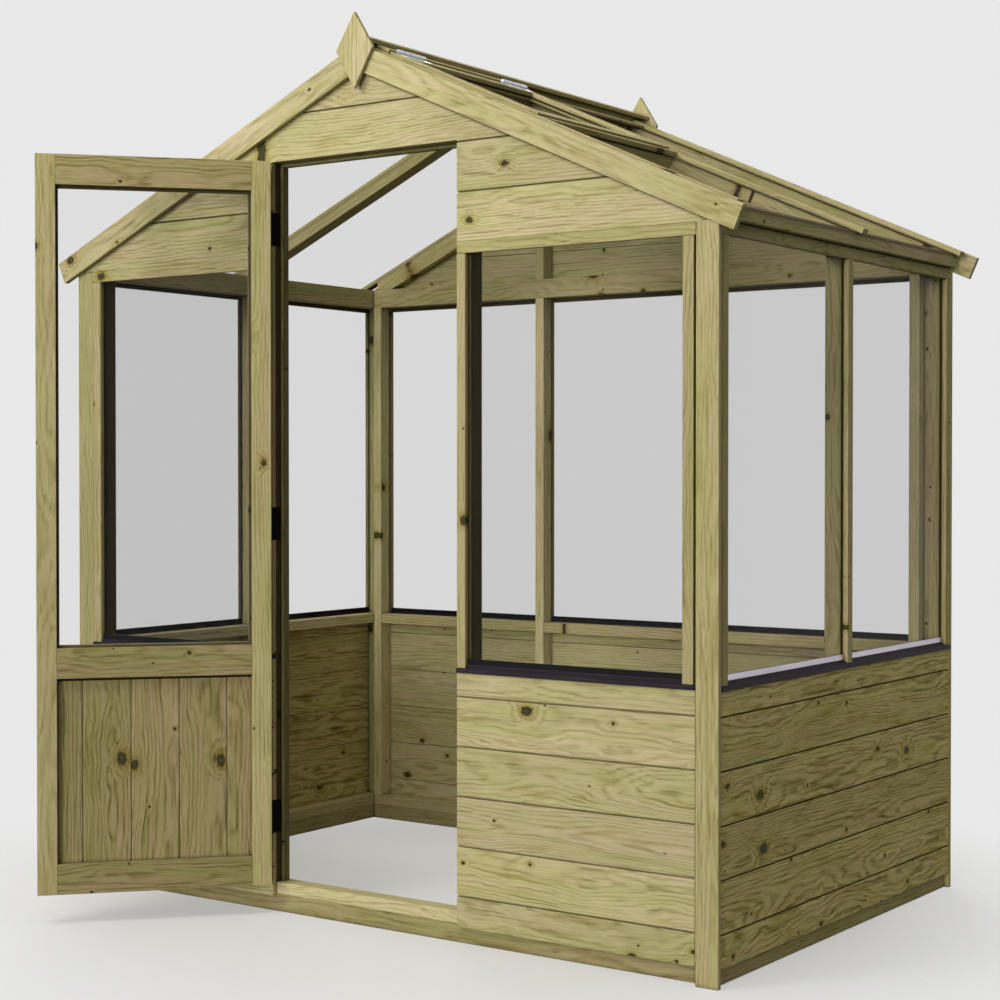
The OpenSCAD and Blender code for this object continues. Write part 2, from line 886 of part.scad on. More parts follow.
module door_rebate() {
    edge = pane_bite + rebate_play;
    block(
        [stile_w - edge, clad_t - 1, mid_rail_top - edge],
        [door_w - stile_w + edge, clad_t + door_pane_t + 2 * slot_play, door_z1 - rail_h + edge]
    );
}

module door_stiles() {
    color(pine) on_door() difference() {
        union() {
            door_bar(0, stile_w, door_z0, door_z1);
            door_bar(door_w - stile_w, door_w, door_z0, door_z1);
        }
        door_rebate();
    }
}

module door_rails() {
    color(pine) on_door() difference() {
        union() for (z0 = [door_z0, mid_rail_z, door_z1 - rail_h])
            door_bar(stile_w, door_w - stile_w, z0, z0 + rail_h);
        door_rebate();
    }
}

// One upright board of the door, with a tongue or a groove where it meets another
module door_board_piece(u0, u1, grooved, tongued) {
    chamfer = 2;
    tongue_t = 4;
    tongue = 5;
    w0 = (clad_t - tongue_t) / 2;
    w1 = (clad_t + tongue_t) / 2;
    left = grooved
        ? [
            [u0 + chamfer, 0], [u0, chamfer], [u0, w0 - slot_play],
            [u0 + tongue + slot_play, w0 - slot_play], [u0 + tongue + slot_play, w1 + slot_play],
            [u0, w1 + slot_play], [u0, clad_t - chamfer], [u0 + chamfer, clad_t]
        ]
        : [[u0, 0], [u0, clad_t]];
    right = tongued
        ? [
            [u1 - chamfer, clad_t], [u1, clad_t - chamfer], [u1, w1], [u1 + tongue, w1],
            [u1 + tongue, w0], [u1, w0], [u1, chamfer], [u1 - chamfer, 0]
        ]
        : [[u1, clad_t], [u1, 0]];
    translate([0, 0, door_z0]) linear_extrude(door_split_z - door_z0) polygon(concat(left, right));
}

module door_boards() {
    count = ceil(door_w / door_board);
    edge_board = (door_w - (count - 2) * door_board) / 2;
    color(pine) on_door() for (i = [0 : count - 1]) {
        u0 = i == 0 ? 0 : edge_board + (i - 1) * door_board;
        u1 = i == count - 1 ? door_w : edge_board + i * door_board - butt_gap;
        door_board_piece(u0, u1, i > 0, i < count - 1);
    }
}

module door_beads() {
    low_top = mid_rail_top + bead_lip;
    high_z = door_z1 - rail_h - bead_lip;
    side = stile_w + bead_lip;
    color(pine) on_door() {
        block([0, 0, door_split_z], [door_w, clad_t, low_top]);
        block([0, 0, high_z], [door_w, clad_t, door_z1]);
        for (u0 = [0, door_w - side])
            block([u0, 0, low_top + butt_gap], [u0 + side, clad_t, high_z - butt_gap]);
    }
}

module door_pane() {
    color(clear) on_door() block(
        [stile_w - pane_bite, clad_t + slot_play, mid_rail_top - pane_bite],
        [door_w - stile_w + pane_bite, clad_t + slot_play + door_pane_t, door_z1 - rail_h + pane_bite]
    );
}

// Hinges: the knuckles take turns along the pin, three on the fixed leaf and two on the other

module knuckle(length, segments) {
    step = length / 5;
    for (i = segments)
        translate([0, 0, i * step + fit_gap / 2]) cylinder(r = knuckle_r, h = step - fit_gap);
}

fixed_segments = [0, 2, 4];
moving_segments = [1, 3];
clear_r = knuckle_r + fit_gap;

// Cuts a leaf back from the knuckles of the other leaf
module knuckle_room(length, segments) {
    step = length / 5;
    for (i = segments)
        translate([0, 0, i * step - fit_gap / 2]) cylinder(r = clear_r, h = step + fit_gap);
}

module fixed_leaf(length) {
    union() {
        difference() {
            children();
            knuckle_room(length, moving_segments);
        }
        knuckle(length, fixed_segments);
        translate([0, 0, fit_gap]) cylinder(r = pin_r, h = length - 2 * fit_gap);
    }
}

module moving_leaf(length) {
    difference() {
        union() {
            difference() {
                children();
                knuckle_room(length, fixed_segments);
            }
            knuckle(length, moving_segments);
        }
        translate([0, 0, -1]) cylinder(r = pin_r + pin_play, h = length + 2);
    }
}

door_hinge_z = [
    for (i = [0 : door_hinges - 1])
        door_z0 + door_hinge_end - door_hinge_len / 2
            + i * (door_z1 - door_z0 - 2 * door_hinge_end) / (door_hinges - 1)
];
door_leaf_w = axis_out + door_t - 1;

module door_post_leaves() {
    color(black) for (z = door_hinge_z)
        translate([hinge_x, hinge_y, z]) fixed_leaf(door_hinge_len)
            block([0, 0, 0], [leaf_t, door_leaf_w, door_hinge_len]);
}

module door_leaves() {
    color(black) on_door() translate([-door_gap, -axis_out, 0]) for (z = door_hinge_z)
        translate([0, 0, z]) moving_leaf(door_hinge_len)
            block([door_gap - leaf_t, 0, 0], [door_gap, door_leaf_w, door_hinge_len]);
}

// Vent

module vent_groove() {
    edge = pane_bite + rebate_play;
    block(
        [vent_s0 + vent_bar - edge, vent_y0 + vent_bar - edge, vent_pane_n - slot_play],
        [vent_s1 - vent_bar + edge, vent_y1 - vent_bar + edge, vent_pane_n + roof_pane_t + slot_play]
    );
}

module vent_frame() {
    color(pine) on_slope() difference() {
        union() {
            block([vent_s0, vent_y0, vent_n0], [vent_s1, vent_y0 + vent_bar, vent_n1]);
            block([vent_s0, vent_y1 - vent_bar, vent_n0], [vent_s1, vent_y1, vent_n1]);
            for (s0 = [vent_s0, vent_s1 - vent_bar])
                block(
                    [s0, vent_y0 + vent_bar + butt_gap, vent_n0],
                    [s0 + vent_bar, vent_y1 - vent_bar - butt_gap, vent_n1]
                );
        }
        vent_groove();
    }
}

module vent_pane() {
    color(clear) on_slope() block(
        [vent_s0 + vent_bar - pane_bite, vent_y0 + vent_bar - pane_bite, vent_pane_n],
        [vent_s1 - vent_bar + pane_bite, vent_y1 - vent_bar + pane_bite, vent_pane_n + roof_pane_t]
    );
}

// The vent's hinge axis lies on top of its frame, just below the ridge capping
vent_axis_s = ridge_rail_s + knuckle_r + 0.2;
vent_axis_n = vent_n1 + knuckle_r + 0.1;
vent_hinge_y = [
    vent_y0 + vent_hinge_end + vent_hinge_len / 2,
    vent_y1 - vent_hinge_end + vent_hinge_len / 2
];
vent_leaf_w = 28;

// Turns a hinge drawn along z to lie along the house
module at_vent_hinges() {
    on_slope() for (y = vent_hinge_y)
        translate([vent_axis_s, y, vent_axis_n]) rotate([90, 0, 0]) children();
}

module vent_rail_leaves() {
    back_x = ridge_rail_s - vent_axis_s;
    color(zinc) at_vent_hinges() fixed_leaf(vent_hinge_len)
        block([back_x, -vent_leaf_w / 2 - knuckle_r, 0], [back_x + leaf_t, 0, vent_hinge_len]);
}

module vent_leaves() {
    seat = vent_n1 - vent_axis_n;
    color(zinc) at_vent_hinges() moving_leaf(vent_hinge_len)
        block([0, seat, 0], [vent_leaf_w, seat + leaf_t, vent_hinge_len]);
}

ground_bearers();
threshold();
front_studs();
front_rails();
front_cladding_left();
front_cladding_right();
front_beads();
front_panes();
front_sills();
left_studs();
left_rails();
left_cladding();
left_beads();
left_panes();
left_sill();
right_studs();
right_rails();
right_cladding();
right_beads();
right_panes();
right_sill();
back_studs();
back_rails();
back_cladding();
back_beads();
back_panes();
back_sill();
front_gable_frame();
front_gable_cladding();
back_gable_frame();
back_gable_cladding();
door_head();
door_stops();
front_corner_strips();
back_corner_strips();
ridge_board();
mid_rafters();
vent_trimmers();
left_roof_panes();
right_roof_panes();
rafter_caps();
ridge_rails();
ridge_capping();
fascias();
front_bargeboards();
back_bargeboards();
back_packers();
front_finial();
back_finial();
door_stiles();
door_rails();
door_boards();
door_beads();
door_pane();
door_post_leaves();
door_leaves();
vent_frame();
vent_pane();
vent_rail_leaves();
vent_leaves();
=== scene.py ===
"""The looks of a small treated-timber greenhouse: boards, sills, panes and hinges, on a pale studio floor."""
import json
import math
import random
from collections import namedtuple

import bmesh
import bpy
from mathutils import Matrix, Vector

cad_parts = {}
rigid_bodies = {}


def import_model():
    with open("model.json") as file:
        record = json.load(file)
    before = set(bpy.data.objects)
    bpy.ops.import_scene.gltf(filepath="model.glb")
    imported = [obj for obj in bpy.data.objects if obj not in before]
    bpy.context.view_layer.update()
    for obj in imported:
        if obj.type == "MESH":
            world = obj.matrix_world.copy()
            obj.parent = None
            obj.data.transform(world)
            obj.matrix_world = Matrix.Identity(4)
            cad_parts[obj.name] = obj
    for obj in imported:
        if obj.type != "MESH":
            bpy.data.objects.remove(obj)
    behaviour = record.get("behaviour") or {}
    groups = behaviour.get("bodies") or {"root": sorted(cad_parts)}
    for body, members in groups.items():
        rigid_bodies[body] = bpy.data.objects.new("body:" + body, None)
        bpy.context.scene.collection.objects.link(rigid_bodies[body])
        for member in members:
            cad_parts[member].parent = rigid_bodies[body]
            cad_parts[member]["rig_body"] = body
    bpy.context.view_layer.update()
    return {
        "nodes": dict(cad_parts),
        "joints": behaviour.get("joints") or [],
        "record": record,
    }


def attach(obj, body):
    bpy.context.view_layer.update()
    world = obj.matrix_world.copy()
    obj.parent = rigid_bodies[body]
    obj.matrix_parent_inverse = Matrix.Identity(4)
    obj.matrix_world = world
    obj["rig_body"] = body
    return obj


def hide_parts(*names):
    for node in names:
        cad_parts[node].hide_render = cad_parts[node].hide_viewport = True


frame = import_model()


# Shader maths

# The Mix node has a set of sockets for each kind of data. These are the ones for colours
MIX_SHARE, MIX_FIRST, MIX_SECOND, MIX_RESULT = 0, 6, 7, 2


class Wire:
    """A socket of a material's nodes that adds, multiplies and so on as a number does."""

    def __init__(self, paint, socket):
        self.paint = paint
        self.socket = socket

    def _with(self, operation, *values):
        return self.paint.node("ShaderNodeMath", {"operation": operation}, *values)

    def __add__(self, other):
        return self._with("ADD", self, other)

    __radd__ = __add__

    def __mul__(self, other):
        return self._with("MULTIPLY", self, other)

    __rmul__ = __mul__

    def __sub__(self, other):
        return self._with("SUBTRACT", self, other)

    def __rsub__(self, other):
        return self._with("SUBTRACT", other, self)

    def __truediv__(self, other):
        return self._with("DIVIDE", self, other)

    def __pow__(self, power):
        return self._with("POWER", self, power)

    def __lt__(self, other):
        return self._with("LESS_THAN", self, other)

    def __gt__(self, other):
        return self._with("GREATER_THAN", self, other)

    def larger(self, other):
        return self._with("MAXIMUM", self, other)

    def sine(self):
        return self._with("SINE", self)

    def root(self):
        return self._with("SQRT", self)

    def step(self, low, high, out_low=0.0, out_high=1.0):
        """Goes smoothly from out_low to out_high as this goes from low to high."""
        settings = {"interpolation_type": "SMOOTHSTEP"}
        return self.paint.node("ShaderNodeMapRange", settings, self, low, high, out_low, out_high)


class Paint:
    """A material, or the world, that is built one node at a time."""

    def __init__(self, name, world=False):
        self.material = (bpy.data.worlds if world else bpy.data.materials).new(name)
        self.material.use_nodes = True
        self.tree = self.material.node_tree
        self.tree.nodes.clear()
        self.out = self.tree.nodes.new("ShaderNodeOutputWorld" if world else "ShaderNodeOutputMaterial")

    def feed(self, socket, value):
        """Links a wire to a socket, or sets the socket to a plain value."""
        if isinstance(value, Wire):
            self.tree.links.new(value.socket, socket)
        elif value is not None:
            socket.default_value = value

    def node(self, kind, settings, *values, out=0, **named):
        """Adds a node, sets it up and feeds its sockets, and returns one of its outputs."""
        made = self.tree.nodes.new(kind)
        for key, value in settings.items():
            setattr(made, key, value)
        for key, value in enumerate(values):
            self.feed(made.inputs[key], value)
        for key, value in named.items():
            self.feed(made.inputs[key.replace("_", " ")], value)
        return Wire(self, made.outputs[out])

    def blend(self, share, first, second, way="MIX"):
        """Goes from the first colour to the second one, or applies the second one to the first."""
        made = self.tree.nodes.new("ShaderNodeMix")
        made.data_type = "RGBA"
        made.blend_type = way
        self.feed(made.inputs[MIX_SHARE], share)
        for place, colour in ((MIX_FIRST, first), (MIX_SECOND, second)):
            self.feed(made.inputs[place], colour if isinstance(colour, Wire) else (*colour, 1.0))
        return Wire(self, made.outputs[MIX_RESULT])

    def wash(self, share, body, colour):
        """Lays a share of a thin, clear coat over a colour, which darkens and tints it."""
        return self.blend(share, body, colour, "MULTIPLY")

    def vector(self, operation, first, second=None, out="Vector"):
        return self.node("ShaderNodeVectorMath", {"operation": operation}, first, second, out=out)

    def axis(self, letter, vector):
        """One of a vector's three values."""
        return self.node("ShaderNodeSeparateXYZ", {}, vector, out=letter)

    def joined(self, first, second, third):
        """A vector of three values."""
        return self.node("ShaderNodeCombineXYZ", {}, first, second, third)

    def held(self, name):
        """Three values that each point of a board holds under this name."""
        return self.node("ShaderNodeAttribute", {"attribute_name": name}, out="Vector")

    def place(self):
        """A point's place in the house's frame, in metres, before a joint moves it."""
        return self.node("ShaderNodeTexCoord", {}, out="Object")

    def facing(self):
        """The direction that the surface faces, before a joint moves it."""
        return self.node("ShaderNodeTexCoord", {}, out="Normal")

    def noise(self, place, along, across, detail=2.0, roughness=0.5):
        """Noise with so many waves to the metre along the first axis, and across it."""
        drawn_out = self.vector("MULTIPLY", place, (along, across, across))
        return self.node(
            "ShaderNodeTexNoise", {}, Vector=drawn_out, Scale=1.0, Detail=detail, Roughness=roughness
        )

    def crevice(self, reach):
        """Painted shade from ambient occlusion: nearly 1 within a reach of joints and inner corners, and 0 on
        open faces.
        """
        air = self.node("ShaderNodeAmbientOcclusion", {"samples": 6}, Distance=reach, out="AO")
        return air.step(0.2, 0.85, 1.0, 0.0)

    def bump(self, height, strength, distance):
        return self.node("ShaderNodeBump", {}, Strength=strength, Distance=distance, Height=height)

    def finish(self, **sockets):
        """Ends in one principled shader with these sockets."""
        return self.end(self.node("ShaderNodeBsdfPrincipled", {}, **sockets))

    def end(self, surface):
        """Ends in this shader."""
        self.tree.links.new(surface.socket, self.out.inputs["Surface"])
        return self.material


# Treated pine: the grain runs along each board, with rings, fibres, knots and a green tint

# Metres from a joint or an inner corner within which shade is painted, and the colour of that painted shade
SHADE_REACH = 0.014
JOINT_SHADE = (0.12, 0.09, 0.055)
# Metres from one year's ring to the next
RING_PITCH = 0.0062
# Metres by which the grain strays: slowly along the board, in short waves, and round large and small knots
SLOW_SWAY, WAVE_SWAY, KNOT_BEND, PIN_BEND = 0.085, 0.014, 0.013, 0.004
# Colours of the painted shade on the front posts' sides, and of the painted shadow below the door's middle
# rail
SIDE_SHADE = (0.10, 0.08, 0.055)
RAIL_SHADOW = (0.012, 0.010, 0.006)

# "disc" and "core" are the knots themselves, "wide" and "near" the wood round them
Knots = namedtuple("Knots", "disc core wide near")


def knots(paint, along, across, ragged, uneven, share, cells, radii):
    """Knots in a share of the cells of a loose net, with so many cells to the metre along and across.

    The radii are the smallest and the largest one, as parts of a cell.
    """
    net = {"voronoi_dimensions": "2D", "feature": "F1"}
    small, large = radii
    flat = paint.joined(along * cells[0], across * cells[1], 0.0)
    far = paint.node("ShaderNodeTexVoronoi", net, Vector=flat, Scale=1.0, Randomness=0.9, out="Distance")
    chance = paint.node("ShaderNodeTexVoronoi", net, Vector=flat, Scale=1.0, Randomness=0.9, out="Color")
    luck = paint.node("ShaderNodeSeparateColor", {}, chance, out="Red")
    size = paint.node("ShaderNodeSeparateColor", {}, chance, out="Green")
    radius = small + (large - small) * size * size
    reach = far / radius + (ragged - 0.5) * 0.9 + (uneven - 0.5) * 0.8
    there = luck < share
    return Knots(
        disc=there * reach.step(1.25, 0.75),
        core=there * reach.step(0.75, 0.35),
        wide=there * reach.step(4.2, 0.9),
        near=there * reach.step(2.3, 0.9),
    )


def shaded_reveals(paint, body, share):
    """Lays dark painted shade over the faces that look left and right."""
    sideways = paint.axis("X", paint.facing())
    return paint.wash((sideways * sideways > 0.5) * share, body, SIDE_SHADE)


def painted_rail_shadow(paint, body, foot):
    """Blackens the door boards' inner face above a height: a painted shadow, drawn as a dark line below the
    middle rail.
    """
    open_by = math.radians(DOOR_OPEN)
    door_inside = (math.sin(open_by), math.cos(open_by), 0.0)
    height = paint.axis("Z", paint.place())
    inward = paint.vector("DOT_PRODUCT", paint.facing(), door_inside, out="Value")
    return paint.blend((height > foot) * (inward > 0.5), body, RAIL_SHADOW)


def pine(name, green, rosy, knot_share=0.34, depth=1.0, reveal_shade=0.0, joint_shade=0.8, shaded_above=None):
    """Planed softwood. "grain" holds metres along, across and through each board, "board" its own chances.

    "depth" is the strength of the grain, and "joint_shade" the darkness of the painted shade in joints and
    inner corners. "reveal_shade" is the share of painted shade on the faces that look left and right.
    "shaded_above" is the height above which the door's inner face is black, a painted shadow of the middle
    rail.
    """
    paint = Paint(name)
    grain = paint.held("grain")
    board = paint.held("board")
    along, across, through = paint.axis("X", grain), paint.axis("Y", grain), paint.axis("Z", grain)
    tone, warmth = paint.axis("X", board), paint.axis("Y", board)
    uneven = paint.noise(grain, 24.0, 40.0)
    ragged = paint.noise(grain, 110.0, 150.0)
    knot = knots(paint, along, across, ragged, uneven, knot_share, (7.0, 9.5), (0.03, 0.11))
    pin = knots(paint, along, across, ragged, uneven, knot_share * 0.5, (12.0, 15.0), (0.02, 0.055))

    # The grain's flow: it wanders along the board and bends round each knot
    slow = paint.noise(grain, 1.5, 6.0)
    wave = paint.noise(grain, 9.0, 24.0)
    bend = knot.wide * KNOT_BEND + pin.wide * PIN_BEND
    sway = (slow - 0.5) * SLOW_SWAY + (wave - 0.5) * WAVE_SWAY + bend
    flow = paint.joined(along, across + sway, through + sway * 0.6)
    aside = across + sway * 0.5
    from_pith = (aside * aside + through * through).root() + sway
    ring = (from_pith * 2.0 * math.pi / RING_PITCH).sine() * 0.5 + 0.5
    late = ring ** 2.2
    fibre = paint.noise(flow, 16.0, 600.0, 3.0, 0.6)
    streak = paint.noise(flow, 4.0, 170.0, 4.0, 0.6)
    band = paint.noise(flow, 1.8, 26.0, 3.0, 0.55)
    patch = paint.noise(grain, 4.0, 9.0, 3.0, 0.6)
    stain = paint.noise(flow, 7.0, 32.0, 4.0, 0.6)

    body = paint.blend(band.step(0.38, 0.62) * 0.8 + warmth * 0.2, green, rosy)
    washes = [
        # Cool patches and warm stains
        (patch.step(0.35, 0.7) * 0.6, (0.82, 0.86, 0.74)),
        (stain.step(0.5, 0.72) * (0.55 * depth), (0.80, 0.75, 0.55)),
        # Late wood, fibres and green streaks
        (late * streak.step(0.3, 0.7, 0.2, 1.0) * (0.62 * depth), (0.50, 0.48, 0.32)),
        (fibre.step(0.35, 0.72, 0.0, 0.5 * depth), (0.66, 0.65, 0.54)),
        (streak.step(0.52, 0.76, 0.0, 0.75 * depth), (0.60, 0.61, 0.43)),
        # Resin round the knots
        (knot.wide * 0.5, (0.86, 0.80, 0.54)),
        (knot.near * 0.6, (0.60, 0.52, 0.30)),
        (pin.near * 0.7, (0.66, 0.56, 0.34)),
    ]
    for share, colour in washes:
        body = paint.wash(share, body, colour)
    body = paint.blend(knot.disc.larger(pin.disc) * 0.97, body, (0.034, 0.030, 0.012))
    body = paint.blend(knot.core * ragged.step(0.35, 0.65, 0.1, 0.8), body, (0.062, 0.068, 0.026))
    body = paint.blend(pin.core * 0.6, body, (0.016, 0.027, 0.020))
    shade = paint.node("ShaderNodeCombineColor", {}, *[tone * 0.14 + 0.93] * 3)
    body = paint.wash(1.0, body, shade)
    # Painted shade in joints and inner corners, from ambient occlusion
    body = paint.wash(paint.crevice(SHADE_REACH) * joint_shade, body, JOINT_SHADE)
    # Painted shade on the faces that look left and right
    if reveal_shade:
        body = shaded_reveals(paint, body, reveal_shade)
    # Painted shadow below the door's middle rail
    if shaded_above:
        body = painted_rail_shadow(paint, body, shaded_above)

    relief = fibre * 0.5 + late * 0.5 - knot.disc * 0.35
    return paint.finish(
        Base_Color=body,
        Roughness=0.66 + fibre * 0.16 + knot.disc * -0.12,
        Specular_IOR_Level=0.08,
        Normal=paint.bump(relief, 0.35, 0.0006),
    )


# Stain, glazing and metal

# Height in metres at which a sill's slope ends and its upstand begins
UPSTAND_FOOT = 0.6015


def black_stain():
    """Stained timber with black upstands, which on the outer face of the side walls have a painted pale sheen
    and are metallic and smoother.
    """
    paint = Paint("black_stain")
    grain = paint.held("grain")
    place = paint.place()
    outward = paint.axis("X", paint.vector("MULTIPLY", paint.facing(), place))
    upstand = paint.axis("Z", place) > UPSTAND_FOOT
    # Painted sheen: the side walls' upstands are pale, metallic and smoother on their outer face
    pale = upstand * (outward > 0.4)
    fibre = paint.noise(grain, 12.0, 500.0, 3.0, 0.6)
    patch = paint.noise(grain, 5.0, 30.0, 3.0)
    body = paint.blend(fibre.step(0.35, 0.7), (0.013, 0.009, 0.013), (0.028, 0.020, 0.027))
    body = paint.blend(patch.step(0.5, 0.8, 0.0, 0.4), body, (0.036, 0.028, 0.034))
    body = paint.blend(upstand * 0.92, body, (0.001, 0.001, 0.001))
    painted_sheen = paint.blend(patch.step(0.3, 0.7), (0.40, 0.36, 0.42), (0.56, 0.52, 0.58))
    return paint.finish(
        Base_Color=paint.blend(pale, body, painted_sheen),
        Metallic=pale,
        Roughness=0.55 + patch * 0.15 - pale * 0.3,
        Specular_IOR_Level=0.14,
        Normal=paint.bump(fibre, 0.1, 0.0003),
    )


def clear_pane(name, shine, edge_on):
    """Clear glazing: it takes a little of the light, and "edge_on" more where it is seen edge-on."""
    paint = Paint(name)
    smear = paint.noise(paint.place(), 5.0, 5.0, 3.0, 0.6)
    slant = paint.node("ShaderNodeLayerWeight", {}, Blend=0.5, out="Facing")
    return paint.finish(
        Base_Color=paint.blend(smear.step(0.4, 0.75), (0.010, 0.011, 0.011), (0.022, 0.024, 0.023)),
        Roughness=0.03 + smear * 0.03,
        Specular_IOR_Level=shine,
        Alpha=slant.step(0.0, 0.15, 0.05, 0.08) + slant ** 4.0 * edge_on,
    )


def metal(name, dark, light, metallic, roughness, shine=0.5):
    """Hinge plate with fine drawn lines and cloudy patches."""
    paint = Paint(name)
    drawn = paint.noise(paint.place(), 90.0, 900.0)
    cloud = paint.noise(paint.place(), 120.0, 120.0, 3.0)
    return paint.finish(
        Base_Color=paint.blend(cloud.step(0.3, 0.7), dark, light),
        Metallic=metallic,
        Roughness=roughness + cloud * 0.18,
        Specular_IOR_Level=shine,
        Normal=paint.bump(drawn, 0.1, 0.0002),
    )


# The finish of each node

DOOR_OPEN = next(j["range_deg"][1] for j in frame["joints"] if j["name"] == "door_swing")
DOOR_GREEN, DOOR_ROSY = (0.32, 0.285, 0.125), (0.37, 0.29, 0.16)
# Height in metres at which the painted shadow below the door's middle rail begins
SHADOW_FOOT = 0.5455

frame_pine = pine("frame_pine", (0.47, 0.43, 0.20), (0.51, 0.42, 0.24), knot_share=0.26)
board_pine = pine("board_pine", (0.50, 0.465, 0.235), (0.555, 0.465, 0.285), depth=1.15, joint_shade=0.55)
side_pine = pine("side_pine", (0.63, 0.575, 0.255), (0.65, 0.54, 0.275), 0.42, depth=2.0, joint_shade=0.93)
barge_pine = pine("barge_pine", (0.51, 0.465, 0.24), (0.57, 0.475, 0.30), 0.36, depth=1.1)
strip_pine = pine("strip_pine", (0.43, 0.395, 0.18), (0.47, 0.39, 0.225), 0.3)
bearer_pine = pine("bearer_pine", (0.39, 0.355, 0.16), (0.43, 0.35, 0.19), 0.3, depth=1.2)
light_pine = pine("light_pine", (0.60, 0.55, 0.30), (0.64, 0.54, 0.33), 0.3)
# Darker copies of pine, as painted shade, for the front posts and the door stops whose sides stand in shade
shaded_post_pine = pine("shaded_post_pine", (0.40, 0.36, 0.165), (0.44, 0.35, 0.19), 0.3, depth=1.2, reveal_shade=0.92)
shaded_stop_pine = pine("shaded_stop_pine", (0.34, 0.31, 0.14), (0.37, 0.30, 0.16), 0.3, depth=1.2, reveal_shade=0.6)
door_pine = pine("door_pine", DOOR_GREEN, DOOR_ROSY, 0.4, depth=1.4)
door_board_pine = pine("door_board_pine", DOOR_GREEN, DOOR_ROSY, 0.4, depth=1.4, shaded_above=SHADOW_FOOT)
sill_stain = black_stain()
wall_pane = clear_pane("clear_pane", 0.35, 0.2)
roof_pane = clear_pane("roof_glass", 0.0, -0.03)
black_metal = metal("black_metal", (0.002, 0.002, 0.002), (0.006, 0.005, 0.005), 0.0, 0.8, 0.05)
zinc = metal("zinc", (0.5, 0.51, 0.52), (0.68, 0.69, 0.7), 1.0, 0.26)

# What a slot's nodes are made of, apart from the nodes that have a finish of their own
finish_of_slot = {
    "timber": frame_pine,
    "sill": sill_stain,
    "glazing": wall_pane,
    "door_hinge": black_metal,
    "hinge": zinc,
}
nodes_of_finish = {
    board_pine: [
        "front_cladding_left", "front_cladding_right", "front_gable_cladding",
        "back_cladding", "back_gable_cladding",
    ],
    side_pine: ["left_cladding", "right_cladding"],
    barge_pine: [
        "front_bargeboards", "back_bargeboards", "front_finial", "back_finial",
        "fascias", "left_rails", "right_rails",
    ],
    strip_pine: [
        "front_corner_strips", "back_corner_strips",
        "front_beads", "left_beads", "right_beads", "back_beads", "door_beads",
    ],
    bearer_pine: ["ground_bearers"],
    light_pine: ["back_studs", "threshold"],
    shaded_post_pine: ["front_studs"],
    shaded_stop_pine: ["door_stops"],
    door_pine: ["door_rails"],
    door_board_pine: ["door_boards"],
    roof_pane: ["left_roof_panes", "right_roof_panes", "vent_pane"],
}
finish_of_node = {node: finish for finish, nodes in nodes_of_finish.items() for node in nodes}


# Boards: each CAD node of timber is drawn again with eased edges and a grain of its own

# Metres by which the sharp edges are rounded
TIMBER_EASE = 0.0012
SILL_EASE = 0.0008
# Metres within which two corners are one
WELD = 0.00002
# Degrees up to which two faces are one flat face
FLAT = 0.5
# Radians from which an edge is sharp
SHARP = 0.35
# Two spans are at right angles when their directions' product is below this
SQUARE = 0.25
# Each board's grain runs towards this side of the house
GRAIN_SIDE = Vector((1, 1.1, 1.2))
# Nodes whose grain runs up, whatever their longest edge
UPRIGHT = {"front_finial", "back_finial"}


def in_order(parts):
    """A mesh's corners, edges or faces, always in the same order."""
    return sorted(parts, key=lambda part: part.index)


def welded(cad):
    """The CAD node's boards, with each flat face in one piece."""
    mesh = bmesh.new()
    mesh.from_mesh(cad.data)
    bmesh.ops.remove_doubles(mesh, verts=mesh.verts, dist=WELD)
    bmesh.ops.dissolve_limit(mesh, angle_limit=math.radians(FLAT), verts=mesh.verts, edges=mesh.edges)
    for parts in (mesh.verts, mesh.edges, mesh.faces):
        parts.index_update()
    return mesh


def separate_boards(mesh):
    """The boards of a mesh that don't touch, each as a list of its corners."""
    left = set(mesh.verts)
    found = []
    while left:
        start = min(left, key=lambda v: v.index)
        left.discard(start)
        group, waiting = [start], [start]
        while waiting:
            vert = waiting.pop()
            for other in [edge.other_vert(vert) for edge in vert.link_edges]:
                if other in left:
                    left.discard(other)
                    group.append(other)
                    waiting.append(other)
        found.append(group)
    return found


def board_axes(group, upright):
    """The directions along, across and through a board, from its longest edges."""
    edges = in_order({e for v in group for e in v.link_edges})
    spans = sorted((e.verts[1].co - e.verts[0].co for e in edges), key=lambda s: -round(s.length, 5))
    along = Vector((0, 0, 1)) if upright else spans[0].normalized()
    across = next((s for s in spans if abs(s.normalized().dot(along)) < SQUARE), along.orthogonal())
    across = (across - along * across.dot(along)).normalized()
    if along.dot(GRAIN_SIDE) < 0:
        along.negate()
    return along, across, along.cross(across)


def eased(group, ease):
    """A copy of one board with its sharp edges rounded."""
    piece = bmesh.new()
    twin = {v: piece.verts.new(v.co) for v in group}
    for face in in_order({f for v in group for f in v.link_faces}):
        piece.faces.new([twin[v] for v in face.verts])
    piece.normal_update()
    sharp = [e for e in piece.edges if e.is_manifold and e.calc_face_angle(0) > SHARP]
    bmesh.ops.bevel(
        piece, geom=sharp, offset=ease, segments=2, profile=0.5, affect="EDGES", clamp_overlap=True
    )
    return piece


